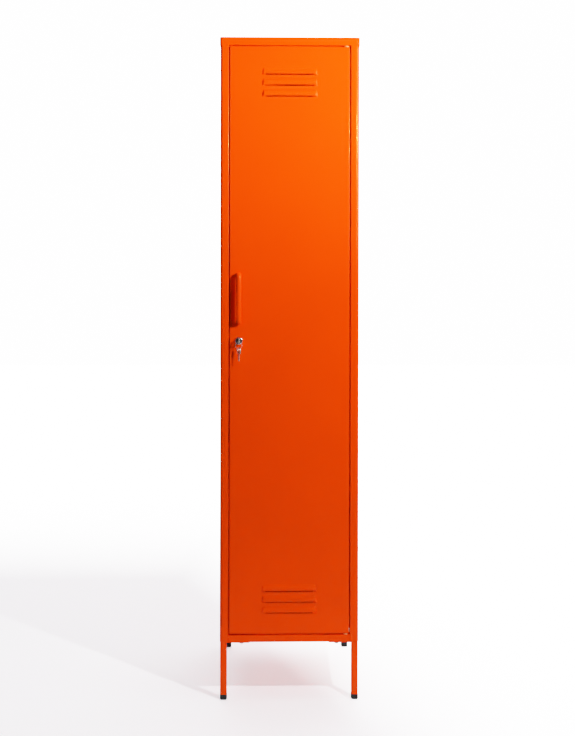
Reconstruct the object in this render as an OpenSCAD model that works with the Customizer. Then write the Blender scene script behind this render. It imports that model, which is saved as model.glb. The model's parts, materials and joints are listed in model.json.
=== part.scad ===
// Tall single-door steel locker on four legs, with a pin-hinged door, a cam lock and its keys,
// shelves, a coat rail and coat hooks.
// Millimetres. +Z is up, the door faces -Y, and the origin is on the floor under the middle of the
// object's box. Left and right are as seen by someone facing the door.

/* [Overall] */
// Height over the feet and the top panel
overall_h = 1830; // [1600:10:2000]
// Width over the side panels
body_w = 383; // [330:10:500]
// Depth from the stiles to the rear flanges
body_d = 460; // [400:10:550]
// Height of the underside above the floor
leg_h = 160; // [120:5:220]

/* [Sheet metal] */
// Thickness of the folded sheet
sheet_t = 0.8; // [0.7:0.1:1]
// Inner radius of an ordinary bend
bend_r = 0.8; // [0.6:0.1:1]
// Outer radius of the cabinet's upright front corners
corner_r = 8; // [3:0.5:8]
// Thickness of the top panel
cap_t = 1; // [0.8:0.1:1.2]
// How far the top panel stands outside the side panels
cap_over = 1.6; // [1.3:0.1:2.5]

/* [Front frame] */
// Visible width of each stile
stile_w = 23; // [20:1:26]
// Height of the top panel's front flange
cap_h = 22; // [20:1:30]
// Height of the bottom rail
rail_h = 19; // [18:1:26]
// Depth of the recess that the door closes into
recess_d = 20; // [19.5:0.5:22]
// Width of the lip that the door closes against
stop_w = 10; // [9:0.5:10]

/* [Door] */
// Gap between the door and each stile
side_gap = 3; // [2.8:0.1:4]
// Gap above and below the door
end_gap = 4; // [4:0.5:6]
// Depth of the door pan
door_t = 16; // [15.5:0.5:16]
// Width of the lips folded behind the door's edges
door_lip = 12; // [8:1:14]

/* [Louvres] */
// Length of a louvre at its mouth
louvre_l = 153; // [120:1:170]
// Height of a louvre
louvre_h = 18; // [14:1:22]
// Distance from one louvre to the next
louvre_pitch = 30; // [26:1:40]
// How far a louvre stands out of the door
louvre_out = 4; // [3.5:0.5:9]
// Height of the slot left open under a louvre's lip
louvre_slot = 1.5; // [1:0.5:3]
// Louvres in each group
louvre_count = 3; // [1:1:5]
// Distance from the door's end to the nearest louvre
louvre_margin = 58; // [45:1:90]

/* [Hinge] */
// Distance of the hinge axis from the door's edge
pin_inset = 8.5; // [8:0.5:9]
// Distance of the hinge axis behind the door's face
pin_depth = 7; // [6.5:0.5:7]
// Radius of the hinge pins
pin_r = 3; // [2.5:0.5:3]
// Travel of the sprung top pin
pin_travel = 10; // [8:1:11]

/* [Handle] */
// Height of the handle's middle above the floor
handle_z = 1110; // [1060:1:1150]
// Length of the handle
handle_l = 144; // [110:1:150]
// Width of the handle
handle_w = 14; // [12:1:18]
// Thickness of the handle's bar
handle_t = 8; // [7:0.5:10]
// How far the handle stands out of the door
handle_out = 25; // [22:1:40]
// Distance of the handle and the lock from the door's free edge
grip_inset = 25.5; // [24:0.5:40]

/* [Lock] */
// Height of the lock above the floor
lock_z = 993; // [900:1:1000]
// Radius of the lock's bezel
bezel_r = 11.5; // [11:0.5:13]
// Length of the cam from the lock's axis to its tip
cam_l = 36; // [34:1:38]

/* [Inside] */
// Least room above the upper shelf
hat_room = 320; // [250:10:400]
// Slot that the lower shelf hangs from, counted upwards from 0
lower_slot = 4; // [1:1:8]
// Distance from one shelf slot to the next
slot_pitch = 50; // [40:5:50]

/* [Hidden] */
CORNERS = [
    ["front_left", -1, -1], ["front_right", 1, -1], ["rear_left", -1, 1], ["rear_right", 1, 1]
];
SIDES = [["left", -1], ["right", 1]];
$fn = 48;

// Colours
paint = "#f05a00";
inner_paint = "#e65200";
zinc = "#b9bcc0";
chrome = "#d9dbde";
nylon = "#f1eee6";
pale_orange = "#ee8a48";
black_rubber = "#17171a";

// Bends and small clearances
bend_steps = 4;
corner_steps = 8;
fit = 0.3;
run_fit = 0.05;
eps = 0.1;

// Lock and keys
barrel_r = 9.5;
barrel_l = recess_d + 1.2;
plug_r = 6.5;
plug_face = 3.5;
bezel_h = 5;
cam_t = 2;
cam_w = 14;
tail_w = 6;
key_t = 2;
blade_w = 7;
blade_l = 18;
blade_depth = 20;
neck_l = 1.5;
bow_l = 20;
bow_w = 18;
bow_r = 7.5;
bow_hole_r = 4;
bow_web = 3;
bow_hole_y = plug_face + neck_l + bow_l - bow_web - bow_hole_r;
ring_r = 9;
ring_wire = 0.8;
ring_drop = 11.7;
spare_sit = 2.4;
spare_turn = 35;
spare_z = lock_z - ring_drop - ring_r - spare_sit;

// The origin is halfway between the rear screw heads and the foremost of the handle and the keys
screw_r = 2.5;
screw_head_r = 4.5;
screw_head_h = 2.4;
half_w = body_w / 2;
spare_out = bow_hole_y + (bow_w * cos(spare_turn) + key_t * sin(spare_turn)) / 2;
front_out = max(handle_out, plug_face + neck_l + bow_l, spare_out);
front_y = (front_out - body_d - screw_head_h) / 2;
rear_y = front_y + body_d;

// Heights
cap_z = overall_h - cap_h;
rail_z = leg_h + rail_h;
step_h = 10;
floor_z = rail_z + step_h;
side_top_z = overall_h - cap_t - 0.2;

// Door
open_x = half_w - stile_w;
stop_x = open_x - stop_w;
stop_y = front_y + recess_d;
door_x = open_x - side_gap;
door_z0 = rail_z + end_gap;
door_z1 = cap_z - end_gap;
pin_x = door_x - pin_inset;
pin_y = front_y + pin_depth;
grip_x = grip_inset - door_x;
cam_y = front_y + barrel_l + fit;

// Hinge parts
bush_r = 4.5;
bush_flange_r = 6;
bush_flange_h = end_gap - 0.6;
block_w = 21;
block_h = 16;
nub_z0 = 2.2;
nub_z1 = 14.2;
bracket_w = 18;
bracket_top_t = 6;
bracket_foot_t = 3;
collar_r = 5.2;
collar_h = 3;
collar_drop = 21;
spring_l = 1.7 * pin_travel + 10;
bracket_h = collar_drop + spring_l + bracket_foot_t;
pin_reach = end_gap + 4.6;

// Legs
leg_w = 18;
leg_corner_r = 4;
leg_wall = 1.2;
leg_inset = 1;
leg_plate_t = 2;
leg_plate_w = 17;
leg_plate_l = 72;
leg_bolt_r = 3;
leg_bolt_off = 50;
bolt_head_h = 4;
bolt_af = 10;
nut_h = 4;
foot_h = 14;
foot_w = 19;
flange_w = 17;
leg_x = half_w - leg_inset - leg_w / 2;

// Shelf uprights, shelves and clips
upright_d = 8;
upright_w = 20;
upright_off = 60;
upright_z0 = floor_z + 30;
upright_z1 = cap_z - 40;
web_x = half_w - sheet_t - upright_d;
slot_z0 = floor_z + 51;
slot_h = 3.4;
slot_w = 12;
shelf_edge = 20;
shelf_side = 15;
shelf_x = web_x - 2.7;
shelf_y0 = stop_y + 6;
shelf_y1 = rear_y - 10;
shelf_y = (shelf_y0 + shelf_y1) / 2;
ledge_t = 1.5;
upper_slot = floor((overall_h - hat_room - slot_z0) / slot_pitch);
function slot_z(i) = slot_z0 + slot_pitch * i;
function shelf_z(i) = slot_z(i) + ledge_t + shelf_side;
upper_z = shelf_z(upper_slot);
hook_slot = upper_slot - 4;

// Coat rail
coat_r = 8;
coat_wall = 1.2;
coat_x = half_w - 26;
coat_z = upper_z - 55;
bracket_x = half_w - 42;

// ---- Shared shapes ----

function unit(v) = v / norm(v);
function to_right(d) = [d.y, -d.x];
function cross2(a, b) = a.x * b.y - a.y * b.x;
function reversed(list) = [for (i = [len(list) - 1:-1:0]) list[i]];

// Arc that rounds the corner b of the path a-b-c. near is the radius on the path itself, and far is
// how much further to the right of the path the arc is drawn.
function corner_arc(a, b, c, near, far, steps) = let (
    u = unit(b - a),
    v = unit(c - b),
    turn = cross2(u, v) < 0 ? 1 : -1,
    swing = acos(u * v),
    start = b - u * near * tan(swing / 2),
    centre = start + to_right(u) * turn * near,
    a0 = atan2(start.y - centre.y, start.x - centre.x),
    r = near - turn * far
) [for (i = [0:steps]) centre + r * [cos(a0 - turn * swing * i / steps), sin(a0 - turn * swing * i / steps)]];

// Outline of a sheet folded along a path, with its thickness to the right of the path.
// radii holds the path-side radius of each bend.
function folded(path, t, radii, steps) = let (
    n = len(path),
    first = to_right(unit(path[1] - path[0])) * t,
    last = to_right(unit(path[n - 1] - path[n - 2])) * t,
    bends = [for (i = [1:n - 2]) i],
    near = [for (i = bends) each corner_arc(path[i - 1], path[i], path[i + 1], radii[i - 1], 0, steps)],
    far = [for (i = bends) each corner_arc(path[i - 1], path[i], path[i + 1], radii[i - 1], t, steps)]
) concat([path[0]], near, [path[n - 1]], [path[n - 1] + last], reversed(far), [path[0] + first]);

// Path-side radius of an ordinary bend: outer where the path turns right, inner where it turns left
function bend_radii(path, t) = [
    for (i = [1:len(path) - 2])
        cross2(path[i] - path[i - 1], path[i + 1] - path[i]) < 0 ? bend_r + t : bend_r
];

// Closed outline with a radius for each corner, 0 for a sharp one
function rounded(points, radii, steps) = let (n = len(points)) [
    for (i = [0:n - 1]) each radii[i] == 0 ? [points[i]] : corner_arc(
        points[(i + n - 1) % n], points[i], points[(i + 1) % n], radii[i], 0, steps
    )
];
function rounded_box(x0, y0, x1, y1, r, steps = 6) =
    rounded([[x0, y0], [x1, y0], [x1, y1], [x0, y1]], [r, r, r, r], steps);

// Extrusions of an outline in the YZ plane along X, and of one in the XZ plane along Y
module along_x(x0, x1) translate([x0, 0, 0]) rotate([90, 0, 90]) linear_extrude(x1 - x0) children();
module along_y(y0, y1) translate([0, y1, 0]) rotate([90, 0, 0]) linear_extrude(y1 - y0) children();
module sheet_of(path, t = sheet_t) polygon(folded(path, t, bend_radii(path, t), bend_steps));

module block(low, high) translate(low) cube(high - low);
module hex_nut(af, h, r) difference() {
    cylinder(h = h, r = af / 2 / cos(30), $fn = 6);
    translate([0, 0, -eps]) cylinder(h = h + 2 * eps, r = r);
}
// Pan-head screw with its head below z 0 and its shank above
module pan_screw(r, head_r, head_h, l) {
    translate([0, 0, -head_h]) cylinder(h = head_h, r1 = head_r * 0.8, r2 = head_r);
    cylinder(h = l, r = r);
}
module to_rear(x, y, z) translate([x, y, z]) rotate([-90, 0, 0]) children();
module to_front(x, y, z) translate([x, y, z]) rotate([90, 0, 0]) children();
module mirror_x(side) if (side < 0) children(); else mirror([1, 0, 0]) children();

// ---- Cabinet shell ----

top_stud_y = [front_y + 70, (front_y + rear_y) / 2, rear_y - 70];
top_stud_x = half_w - 9;
top_flange_w = 17;

// Plan of the top panel, drawn in from its outside by inset
function top_outline(inset) = let (
    x = half_w + cap_over - inset,
    y0 = front_y - cap_over + inset,
    y1 = rear_y + cap_over - inset,
    front_r = corner_r + cap_over - inset,
    rear_r = 2.5 - inset
) rounded([[-x, y0], [x, y0], [x, y1], [-x, y1]], [front_r, front_r, rear_r, rear_r], corner_steps);

module top_panel() color(paint) {
    difference() {
        translate([0, 0, cap_z]) linear_extrude(cap_h) polygon(top_outline(0));
        translate([0, 0, cap_z - eps]) linear_extrude(cap_h - cap_t + eps) polygon(top_outline(cap_t));
    }
    // weld studs
    for (s = SIDES, y = top_stud_y) translate([s[1] * top_stud_x, y, overall_h - cap_t - 10])
        cylinder(h = 10.3, r = screw_r);
}

module top_nuts() color(zinc) for (s = SIDES, y = top_stud_y)
    translate([s[1] * top_stud_x, y, side_top_z - sheet_t - nut_h]) hex_nut(8, nut_h, screw_r);

// Notches that let the frame's cross members pass the side panels' stop lips
module lip_notches(z0, z1) for (s = [-1, 1]) {
    x = [stop_x - fit, half_w];
    block([min(s * x[0], s * x[1]), stop_y - fit, z0], [max(s * x[0], s * x[1]), stop_y + 1, z1]);
}

module door_header() color(paint) difference() {
    along_x(-open_x + fit, open_x - fit) sheet_of([
        [stop_y, cap_z - stop_w], [stop_y, cap_z], [front_y, cap_z],
        [front_y, side_top_z - 0.2], [front_y + 14, side_top_z - 0.2]
    ]);
    lip_notches(cap_z - 2 * stop_w, overall_h);
    translate([pin_x, pin_y, cap_z - 1]) cylinder(h = 4, r = bush_r);
}

// Places of the leg bolts: one in the front or rear return, one in the side flange
function bolt_spots(c) = [
    [c[1] * (leg_x - leg_bolt_off), c[2] < 0 ? front_y + 11 : rear_y - 12],
    [c[1] * (half_w - 10), c[2] < 0 ? front_y + 11 + leg_bolt_off : rear_y - 12 - leg_bolt_off]
];
module bolt_holes(r) for (c = CORNERS, p = bolt_spots(c))
    translate([p.x, p.y, leg_h - leg_plate_t - eps]) cylinder(h = 6, r = r);

module bottom_panel() {
    inner_x = half_w - sheet_t - fit;
    back_y = rear_y - 2 * sheet_t - fit;
    side_z = leg_h + sheet_t;
    color(paint) difference() {
        union() {
            // front rail, door step and the front strip of the floor
            difference() {
                along_x(-open_x + fit, open_x - fit) sheet_of([
                    [front_y + 18, leg_h], [front_y, leg_h], [front_y, rail_z],
                    [stop_y, rail_z], [stop_y, floor_z], [stop_y + 10, floor_z]
                ]);
                lip_notches(rail_z - 4, floor_z + 1);
                for (s = [-1, 1]) translate([s * (stop_x + 10), stop_y + 6, floor_z])
                    cube([20, 12, 4], center = true);
            }
            // floor with its side flanges and returns
            along_y(stop_y + sheet_t + fit, back_y) sheet_of([
                [-inner_x + flange_w, side_z], [-inner_x, side_z], [-inner_x, floor_z],
                [inner_x, floor_z], [inner_x, side_z], [inner_x - flange_w, side_z]
            ]);
            // rear flange and its return
            along_x(-inner_x + flange_w + 1, inner_x - flange_w - 1) sheet_of([
                [back_y - 20, floor_z], [back_y, floor_z], [back_y, leg_h], [back_y - 18, leg_h]
            ]);
        }
        bolt_holes(leg_bolt_r + fit);
        translate([pin_x, pin_y, rail_z - 3]) cylinder(h = 4, r = bush_r);
        for (x = base_screw_x) to_rear(x, back_y - 4, base_screw_z) cylinder(h = 6, r = screw_r + eps);
    }
}

// Side panel: stop lip, door recess, stile, side and rear flange in one folded sheet, with flanges
// turned in at its top and foot
module side_panel(side) {
    path = [
        [-stop_x, stop_y], [-open_x, stop_y], [-open_x, front_y],
        [-half_w, front_y], [-half_w, rear_y], [-half_w + flange_w, rear_y]
    ];
    r = bend_r + sheet_t;
    skin_x = -half_w + sheet_t / 2;
    color(paint) mirror_x(side) difference() {
        union() {
            translate([0, 0, leg_h]) linear_extrude(side_top_z - leg_h)
                polygon(folded(path, sheet_t, [bend_r, r, corner_r, r], corner_steps));
            block(
                [skin_x, stop_y + 5, leg_h],
                [-half_w + flange_w, rear_y - 3, leg_h + sheet_t]
            );
            block(
                [skin_x, stop_y + 5, side_top_z - sheet_t],
                [-half_w + top_flange_w, rear_y - 3, side_top_z]
            );
        }
        bolt_holes(leg_bolt_r + fit);
        for (y = top_stud_y) translate([-top_stud_x, y, side_top_z - 3])
            cylinder(h = 4, r = screw_r + fit);
        for (z = back_screw_z) to_rear(-back_screw_x, rear_y - 3, z) cylinder(h = 4, r = screw_r + eps);
    }
}

back_screw_x = half_w - 9;
back_screw_z = [for (i = [0:4]) floor_z + 60 + i * (cap_z - floor_z - 120) / 4];
base_screw_x = [-100, 0, 100];
base_screw_z = leg_h + 14;
wall_hole_x = 90;
wall_hole_z = overall_h - 75;
wall_hole_r = 3.5;

module back_panel() {
    x = half_w - sheet_t - bend_r - fit;
    color(inner_paint) difference() {
        block([-x, rear_y - 2 * sheet_t, leg_h + 2], [x, rear_y - sheet_t, side_top_z - sheet_t - fit]);
        for (s = [-1, 1]) {
            to_rear(s * wall_hole_x, rear_y - 3, wall_hole_z) cylinder(h = 4, r = wall_hole_r);
            for (z = back_screw_z) to_rear(s * back_screw_x, rear_y - 3, z)
                cylinder(h = 4, r = screw_r + eps);
        }
        for (x = base_screw_x) to_rear(x, rear_y - 3, base_screw_z) cylinder(h = 4, r = screw_r + eps);
    }
}

// The side screws hold the back behind the side flanges, and the low ones hold it to the floor pan
module back_screws() color(zinc) {
    for (s = [-1, 1], z = back_screw_z) to_front(s * back_screw_x, rear_y, z)
        pan_screw(screw_r, screw_head_r, screw_head_h, 8);
    for (x = base_screw_x) to_front(x, rear_y - sheet_t, base_screw_z)
        pan_screw(screw_r, screw_head_r, screw_head_h, 9);
}
module back_nuts() color(zinc) {
    for (s = [-1, 1], z = back_screw_z) to_front(s * back_screw_x, rear_y - 2 * sheet_t, z)
        hex_nut(8, nut_h, screw_r);
    for (x = base_screw_x) to_front(x, rear_y - 3 * sheet_t - fit, base_screw_z)
        hex_nut(8, nut_h, screw_r);
}

// ---- Legs and feet ----

function leg_y(c) = c[2] < 0 ? front_y + leg_inset + leg_w / 2 : rear_y - leg_inset - leg_w / 2;
module leg_section(w, r) polygon(rounded_box(-w / 2, -w / 2, w / 2, w / 2, r));

module leg(c) color(paint) difference() {
    union() {
        translate([c[1] * leg_x, leg_y(c), foot_h])
            linear_extrude(leg_h - leg_plate_t - foot_h) difference() {
                leg_section(leg_w, leg_corner_r);
                leg_section(leg_w - 2 * leg_wall, leg_corner_r - leg_wall);
            }
        // mounting plate: one arm under the front or rear return, one under the side flange
        translate([c[1] * leg_x, leg_y(c), leg_h - leg_plate_t]) linear_extrude(leg_plate_t)
            scale([-c[1], -c[2]]) {
                a = -leg_w / 2 + 1;
                polygon(rounded(
                    [
                        [a, a], [leg_plate_l, a], [leg_plate_l, a + leg_plate_w],
                        [a + leg_plate_w, a + leg_plate_w], [a + leg_plate_w, leg_plate_l], [a, leg_plate_l]
                    ],
                    [3, 3, 3, 3, 3, 3], bend_steps
                ));
            }
    }
    bolt_holes(leg_bolt_r + fit);
}

module foot(c) color(black_rubber) translate([c[1] * leg_x, leg_y(c), 0]) {
    translate([0, 0, 2]) linear_extrude(foot_h - 2) leg_section(foot_w, leg_corner_r);
    linear_extrude(2) leg_section(foot_w - 2, leg_corner_r - 1);
    translate([0, 0, foot_h - 1]) linear_extrude(13)
        leg_section(leg_w - 2 * leg_wall - 0.4, leg_corner_r - leg_wall - 0.2);
}

module leg_bolts() color(zinc) for (c = CORNERS, p = bolt_spots(c))
    translate([p.x, p.y, leg_h - leg_plate_t]) {
        translate([0, 0, -bolt_head_h]) cylinder(h = bolt_head_h, r = bolt_af / 2 / cos(30), $fn = 6);
        cylinder(h = 10, r = leg_bolt_r);
    }
// The side flange bolts go through one more sheet than the others
module leg_nuts() color(zinc) for (c = CORNERS, i = [0, 1])
    translate([bolt_spots(c)[i].x, bolt_spots(c)[i].y, leg_h + sheet_t * (1 + i)])
        hex_nut(bolt_af, nut_h + 0.8, leg_bolt_r);

// ---- Shelves and hanging fittings ----

function upright_y(c) = c[2] < 0 ? front_y + upright_off : rear_y - upright_off;
module upright(c) color(inner_paint) mirror_x(c[1]) difference() {
    y = upright_y(c);
    translate([0, 0, upright_z0]) linear_extrude(upright_z1 - upright_z0) sheet_of([
        [-web_x - upright_d, y + upright_w / 2], [-web_x, y + upright_w / 2],
        [-web_x, y - upright_w / 2], [-web_x - upright_d, y - upright_w / 2]
    ]);
    for (z = [slot_z0:slot_pitch:upright_z1 - 20]) translate([-web_x, y, z])
        cube([4, slot_w, slot_h], center = true);
}

module shelf(z) color(inner_paint) {
    along_x(-shelf_x, shelf_x) sheet_of([
        [shelf_y0 + 10, z - shelf_edge], [shelf_y0, z - shelf_edge], [shelf_y0, z],
        [shelf_y1, z], [shelf_y1, z - shelf_edge], [shelf_y1 - 10, z - shelf_edge]
    ]);
    for (s = [-1, 1]) {
        x = s < 0 ? -shelf_x : shelf_x - sheet_t;
        block([x, shelf_y0 + 4, z - shelf_side], [x + sheet_t, shelf_y1 - 4, z - sheet_t / 2]);
    }
}

module shelf_clips() color(zinc) for (c = CORNERS, i = [upper_slot, lower_slot])
    translate([0, upright_y(c), slot_z(i)]) mirror_x(c[1]) along_y(-5, 5) polygon([
        [-web_x - 3.5, -1.2], [-web_x, -1.2], [-web_x, -12], [-web_x + 1.2, -12],
        [-web_x + 1.2, 0], [-web_x + 11, 0], [-web_x + 11, ledge_t],
        [-web_x, ledge_t], [-web_x - 2.4, ledge_t], [-web_x - 2.4, 4.5], [-web_x - 3.5, 4.5]
    ]);

rivet_y = [shelf_y - 10, shelf_y + 10];
module rail_bracket(side) color(zinc) mirror_x(side) difference() {
    top = upper_z - sheet_t;
    low = coat_z - 14;
    union() {
        along_x(-bracket_x, -bracket_x + 2) polygon(rounded(
            [[shelf_y - 16, top], [shelf_y + 16, top], [shelf_y + 14, low], [shelf_y - 14, low]],
            [1, 1, 10, 10], 8
        ));
        block([-bracket_x, shelf_y - 16, top - 2], [-bracket_x + 18, shelf_y + 16, top]);
    }
    translate([-bracket_x - 1, shelf_y, coat_z]) rotate([0, 90, 0]) cylinder(h = 4, r = coat_r + run_fit);
    for (y = rivet_y) translate([-bracket_x + 10, y, top - 3]) cylinder(h = 4, r = 2);
}
module rail_rivets() color(zinc) for (s = [-1, 1], y = rivet_y)
    translate([s * (bracket_x - 10), y, upper_z - sheet_t - 2]) {
        translate([0, 0, -1.5]) cylinder(h = 1.5, r1 = 2.6, r2 = 3.5);
        cylinder(h = 2, r = 2);
    }

module hanging_rail() color(chrome) translate([-coat_x, shelf_y, coat_z]) rotate([0, 90, 0]) difference() {
    cylinder(h = 2 * coat_x, r = coat_r);
    translate([0, 0, -eps]) cylinder(h = 2 * coat_x + 2 * eps, r = coat_r - coat_wall);
}
module rail_end_caps() color(black_rubber) for (s = [-1, 1])
    translate([s * coat_x, shelf_y, coat_z]) rotate([0, s * 90, 0]) {
        cylinder(h = 3, r1 = coat_r + 1, r2 = coat_r);
        translate([0, 0, -8]) cylinder(h = 8.5, r = coat_r - coat_wall - run_fit);
    }

// Coat hook that clips into the slots of a rear upright
module coat_hook(side) {
    y = rear_y - upright_off;
    z = slot_z(hook_slot);
    rod_r = 3;
    bend = 10;
    color(zinc) mirror_x(side) {
        along_x(-web_x, -web_x + 2) polygon(rounded_box(y - 9, z - 34, y + 9, z + 10, 4));
        block([-web_x - 3.5, y - 5, z - 1.2], [-web_x + 1, y + 5, z + 1.2]);
        translate([-web_x + 1, y, z - 24]) rotate([0, 90, 0]) cylinder(h = 15, r = rod_r);
        translate([-web_x + 16, y, z - 24 + bend]) rotate([90, 0, 0]) rotate([0, 0, -90])
            rotate_extrude(angle = 90) translate([bend, 0]) circle(r = rod_r);
        translate([-web_x + 16 + bend, y, z - 24 + bend]) cylinder(h = 12, r = rod_r);
        translate([-web_x + 16 + bend, y, z - 12 + bend]) sphere(r = 4.5);
    }
}

// ---- Frame side of the hinge and the door's buffers ----

module door_buffers() color(black_rubber) for (z = [door_z0 + 120, door_z1 - 120])
    to_front(-open_x + 5.5, stop_y, z) {
        cylinder(h = recess_d - door_t - 1.2, r = 4);
        translate([0, 0, recess_d - door_t - 1.2]) cylinder(h = 0.9, r1 = 4, r2 = 3.2);
    }

// Flanged bush, flange above z 0 and spigot below
module hinge_bush() color(pale_orange) difference() {
    union() {
        cylinder(h = bush_flange_h, r = bush_flange_r);
        translate([0, 0, -5]) cylinder(h = 5.1, r = bush_r);
    }
    translate([0, 0, -6]) cylinder(h = 12 + bush_flange_h, r = pin_r + run_fit);
}
module hinge_bush_bottom() translate([pin_x, pin_y, rail_z]) hinge_bush();
module hinge_bush_top() translate([pin_x, pin_y, cap_z]) mirror([0, 0, 1]) hinge_bush();

// ---- Door ----

module louvre_shape(inset) {
    // hollow when inset is 0.8 or so: the mouth opens downwards and the back opens into the door
    low = inset > 0 ? -eps : 0;
    back = inset > 0 ? 1 : sheet_t / 2;
    half = louvre_l / 2 - inset;
    slant = 7;
    intersection() {
        along_x(-louvre_l, louvre_l) polygon([
            [front_y + back, louvre_h - 1.8 * inset], [front_y, louvre_h - 1.8 * inset],
            [front_y - louvre_out + inset, 5 - 0.5 * inset],
            [front_y - louvre_out + inset, low], [front_y + back, low]
        ]);
        along_y(front_y - 20, front_y + 5) polygon([
            [-half, low], [half, low], [half - slant, louvre_h], [-half + slant, louvre_h]
        ]);
    }
}
louvre_z = [
    for (i = [0:louvre_count - 1]) each [
        door_z0 + louvre_margin + i * louvre_pitch,
        door_z1 - louvre_margin - louvre_h - i * louvre_pitch
    ]
];

module door_skin() {
    x = door_x;
    y1 = front_y + door_t;
    color(paint) difference() {
        union() {
            translate([0, 0, door_z0]) linear_extrude(door_z1 - door_z0) sheet_of([
                [x - door_lip, y1], [x, y1], [x, front_y], [-x, front_y], [-x, y1], [-x + door_lip, y1]
            ]);
            // end flanges with their lips
            for (end = [[door_z0, 0], [door_z1, 1]]) translate([0, 0, end[0]]) mirror([0, 0, end[1]]) {
                block([-x + bend_r, front_y + sheet_t / 2, 0], [x - bend_r, y1, sheet_t]);
                block([-x + bend_r, y1 - sheet_t, 0], [x - bend_r, y1, door_lip]);
            }
            for (z = louvre_z) translate([0, 0, z]) louvre_shape(0);
        }
        for (z = louvre_z) translate([0, 0, z]) {
            louvre_shape(sheet_t);
            block([1 - louvre_l / 2, front_y - 0.1, -louvre_slot], [louvre_l / 2 - 1, front_y + sheet_t + 0.1, eps]);
        }
        to_rear(grip_x, front_y - 1, lock_z) cylinder(h = 3, r = barrel_r);
        for (z = handle_screw_z) to_rear(grip_x, front_y - 1, z) cylinder(h = 3, r = handle_screw_r);
        for (z = [door_z0, door_z1]) translate([pin_x, pin_y, z - 2]) cylinder(h = 4, r = pin_r + 0.5);
        block([x - 3, front_y + 3, door_z0 + nub_z0], [x + 1, front_y + 11, door_z0 + nub_z1]);
    }
}

stiffener_z = [
    door_z0 + louvre_margin + louvre_count * louvre_pitch + 30,
    door_z1 - louvre_margin - louvre_count * louvre_pitch - 30
];
module door_stiffener() color(paint) translate([0, 0, stiffener_z[0]])
    linear_extrude(stiffener_z[1] - stiffener_z[0]) sheet_of([
        [-42, front_y + 2 * sheet_t], [-30, front_y + 2 * sheet_t], [-30, front_y + door_t - 2],
        [30, front_y + door_t - 2], [30, front_y + 2 * sheet_t], [42, front_y + 2 * sheet_t]
    ]);

// Plan of a hinge piece that fills the door's edge, with its corners clear of the door's bends
module hinge_plan(w) polygon(rounded_box(
    door_x - sheet_t - w, front_y + sheet_t, door_x - sheet_t, front_y + door_t - sheet_t, 1.2
));

// Corner block that holds the fixed pin; its nub shows through the notch in the door's edge
module hinge_block_bottom() color(nylon) difference() {
    union() {
        translate([0, 0, door_z0 + sheet_t]) linear_extrude(block_h) hinge_plan(block_w);
        block(
            [door_x - 2, front_y + 3.1, door_z0 + nub_z0 + eps],
            [door_x + 0.8, front_y + 10.9, door_z0 + nub_z1 - eps]
        );
    }
    translate([pin_x, pin_y, door_z0 - 1]) cylinder(h = 14, r = pin_r);
}
module hinge_pin_bottom() color(zinc) translate([pin_x, pin_y, rail_z - 4])
    cylinder(h = end_gap + 17, r = pin_r);

// Bracket that guides the sprung pin: a guide plate at the top, a foot plate and a wall
module hinge_bracket_top() {
    top = door_z1 - sheet_t;
    low = top - bracket_h;
    x = door_x - sheet_t;
    color(zinc) difference() {
        union() {
            translate([0, 0, top - bracket_top_t]) linear_extrude(bracket_top_t) hinge_plan(bracket_w);
            translate([0, 0, low]) linear_extrude(bracket_foot_t) hinge_plan(bracket_w);
            block([x - 2, front_y + 2, low + 1], [x, front_y + door_t - 2, top - 1]);
        }
        translate([pin_x, pin_y, low - 1]) cylinder(h = bracket_h + 2, r = pin_r + run_fit);
    }
}
collar_z = door_z1 - sheet_t - collar_drop;
pin_low_z = door_z1 - sheet_t - bracket_h - pin_travel + 2;
module hinge_pin_top() color(zinc) {
    translate([pin_x, pin_y, pin_low_z]) cylinder(h = door_z1 + pin_reach - pin_low_z, r = pin_r);
    translate([pin_x, pin_y, collar_z]) cylinder(h = collar_h, r = collar_r);
    // finger tab
    translate([pin_x, pin_y, collar_z + collar_h / 2]) rotate([0, -90, 0]) cylinder(h = 22, r = 1.5);
}
module hinge_spring() color(zinc) {
    z0 = door_z1 - sheet_t - bracket_h + bracket_foot_t;
    translate([pin_x, pin_y, z0]) difference() {
        cylinder(h = collar_z - z0, r = pin_r + 1.7);
        translate([0, 0, -eps]) cylinder(h = collar_z - z0 + 1, r = pin_r + 0.5);
    }
}

// ---- Handle ----

handle_foot = 10;
handle_bend_r = 15;
handle_screw_r = 2;
handle_screw_z = [for (s = [-1, 1]) handle_z + s * (handle_l - handle_foot) / 2];
// Side view of the handle's bow: its outside when end and bar are 0, and the finger gap otherwise
function handle_outline(end, bar, r) = let (
    y0 = bar > 0 ? front_y + 1 : front_y,
    y1 = front_y - handle_out + bar,
    z0 = handle_z - handle_l / 2 + end,
    z1 = handle_z + handle_l / 2 - end
) rounded([[y0, z0], [y0, z1], [y1, z1], [y1, z0]], [0, 0, r, r], corner_steps);

module door_handle() color(paint) difference() {
    along_x(grip_x - handle_w / 2, grip_x + handle_w / 2) difference() {
        polygon(handle_outline(0, 0, handle_bend_r));
        polygon(handle_outline(handle_foot, handle_t, handle_bend_r - handle_t));
    }
    for (z = handle_screw_z) to_front(grip_x, front_y + 1, z) cylinder(h = 13, r = handle_screw_r);
}
module handle_screws() color(zinc) for (z = handle_screw_z)
    to_front(grip_x, front_y + sheet_t, z) pan_screw(handle_screw_r, 4, 2.4, 10);

// ---- Lock and keys ----

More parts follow.
